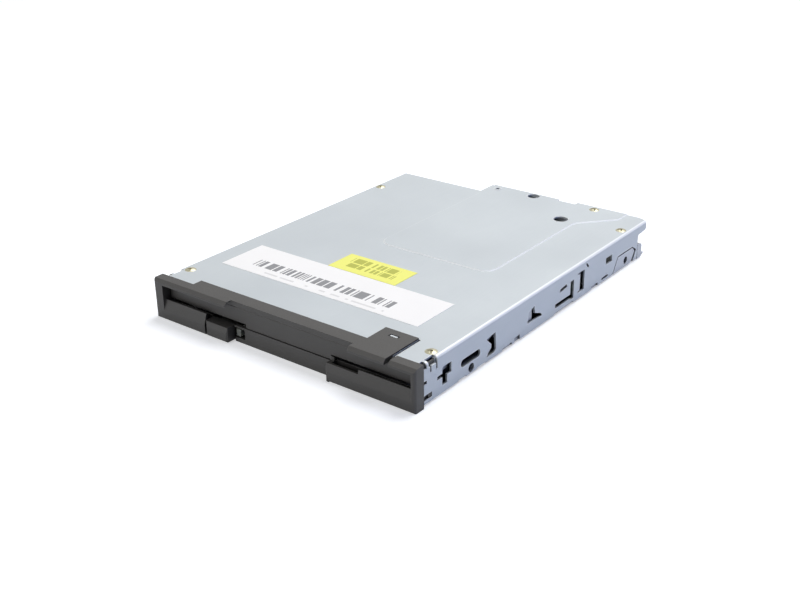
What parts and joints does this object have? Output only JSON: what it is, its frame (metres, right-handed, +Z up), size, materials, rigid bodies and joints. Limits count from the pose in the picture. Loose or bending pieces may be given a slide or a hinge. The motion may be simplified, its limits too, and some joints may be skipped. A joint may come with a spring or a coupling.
{
  "type": "floppy disk drive",
  "caption": "Slim 3.5-inch floppy disk drive: steel case with side cut-outs, black bezel with slot and flap, eject button, holder, spindle and stepped heads.",
  "frame": {"origin": "middle of the underside of the whole drive's box", "axes": "+X to the right seen from the front, +Y from the bezel to the rear, +Z up"},
  "size_m": [0.097, 0.1302, 0.0131],
  "materials": {
    "cover_steel": "zinc-coated sheet, satin",
    "base_steel": "zinc-coated sheet, satin",
    "black_plastic": "fine grain",
    "clear_plastic": "clear, milky",
    "grey_plastic": "plain",
    "white_plastic": "plain",
    "dark_plastic": "plain",
    "bright_steel": "ground",
    "brass_steel": "passivated screws",
    "spring_steel": "drawn wire",
    "cast_alloy": "die-cast, satin",
    "brass": "turned",
    "copper": "enamelled wire",
    "magnet": "bonded ferrite",
    "core_steel": "coated laminations",
    "board_green": "solder mask",
    "flex_amber": "polyimide",
    "ceramic": "polished ceramic",
    "label_white": "paper label",
    "label_yellow": "paper label"
  },
  "bodies": {
    "case": {"base_frame": "base_steel", "top_cover": "cover_steel", "cover_side_left": "cover_steel", "cover_side_right": "cover_steel", "screw_ears": "base_steel", "front_bezel": "black_plastic", "indicator_lens": "clear_plastic", "lamp_board": "board_green", "guide_posts": "bright_steel", "lever_post": "brass", "lever_clip": "spring_steel", "lever_spring": "spring_steel", "motor_board": "board_green", "motor_flex": "flex_amber", "motor_screws": "brass_steel", "bearing_sleeve": "brass", "stator_core": "core_steel", "stator_coils": "copper", "guide_rod": "bright_steel", "rod_clamps": "cast_alloy", "stepper_motor": "base_steel", "stepper_bracket": "base_steel", "bracket_screws": "brass_steel", "main_board": "board_green", "board_screws": "brass_steel", "ribbon_connector": "white_plastic", "controller_chips": "dark_plastic", "board_parts": "white_plastic", "track_sensor": "dark_plastic", "disk_switches": "grey_plastic", "head_flex": "flex_amber", "cover_screws": "brass_steel", "white_label": "label_white", "yellow_label": "label_yellow", "slider_spring_left": "spring_steel", "slider_spring_right": "spring_steel", "door_spring": "spring_steel"},
    "door": {"door_flap": "black_plastic"},
    "slider": {"eject_slider": "base_steel", "eject_button": "black_plastic", "button_rivet": "brass_steel"},
    "holder": {"disk_holder": "cover_steel", "holder_pins": "bright_steel"},
    "rotor": {"rotor_cup": "base_steel", "rotor_magnet": "magnet", "spindle_hub": "cast_alloy", "chuck_magnet": "magnet", "spindle_shaft": "bright_steel", "drive_pin": "bright_steel"},
    "screw": {"lead_screw": "bright_steel"},
    "carriage": {"head_carriage": "cast_alloy", "lower_head": "ceramic", "screw_follower": "white_plastic", "arm_pin": "bright_steel"},
    "arm": {"upper_arm": "dark_plastic", "upper_head": "ceramic", "arm_spring": "spring_steel"},
    "lever": {"shutter_lever": "base_steel"},
    "protect": {"protect_plunger": "white_plastic"},
    "density": {"density_plunger": "white_plastic"}
  },
  "joints": [
    {"name": "door_hinge", "type": "hinge", "parent": "case", "child": "door", "pos_m": [0, -0.06157, 0.01055], "axis": [1, 0, 0], "range_deg": [0, 88], "stiffness_Nm_per_rad": 0.0004, "springref_deg": -20.05, "deforming": ["door_spring"]},
    {"name": "eject_slide", "type": "slide", "parent": "case", "child": "slider", "axis": [0, -1, 0], "range_m": [0, 0.0045], "deforming": ["slider_spring_left", "slider_spring_right"]},
    {"name": "holder_drop", "type": "slide", "parent": "case", "child": "holder", "axis": [0, 0, -1], "range_m": [0, 0.002]},
    {"name": "head_step", "type": "slide", "parent": "case", "child": "carriage", "axis": [0, -1, 0], "range_m": [0, 0.0148]},
    {"name": "screw_turn", "type": "hinge", "parent": "case", "child": "screw", "pos_m": [0.015, 0.04492, 0.00615], "axis": [0, 1, 0], "range_deg": [0, 1776]},
    {"name": "arm_lower", "type": "hinge", "parent": "carriage", "child": "arm", "pos_m": [0.0006, 0.05792, 0.00725], "axis": [1, 0, 0], "range_deg": [0, 7.5]},
    {"name": "spindle_turn", "type": "hinge", "parent": "case", "child": "rotor", "pos_m": [0.0006, -0.01008, 0.00325], "axis": [0, 0, 1], "continuous": true},
    {"name": "lever_swing", "type": "hinge", "parent": "case", "child": "lever", "pos_m": [-0.039, 0.03692, 0.0072], "axis": [0, 0, 1], "range_deg": [0, 60], "stiffness_Nm_per_rad": 0.0008, "springref_deg": -17.19, "deforming": ["lever_spring"]},
    {"name": "protect_press", "type": "slide", "parent": "case", "child": "protect", "axis": [0, 0, -1], "range_m": [0, 0.0008], "stiffness_N_per_m": 120, "springref_m": -0.0008},
    {"name": "density_press", "type": "slide", "parent": "case", "child": "density", "axis": [0, 0, -1], "range_m": [0, 0.0008], "stiffness_N_per_m": 120, "springref_m": -0.0008}
  ],
  "couplings": [
    {"joint": "holder_drop", "follows": "eject_slide", "ratio": 0.44444},
    {"joint": "arm_lower", "follows": "eject_slide", "rad_per_m": 29.089},
    {"joint": "screw_turn", "follows": "head_step", "rad_per_m": 2094.4}
  ]
}
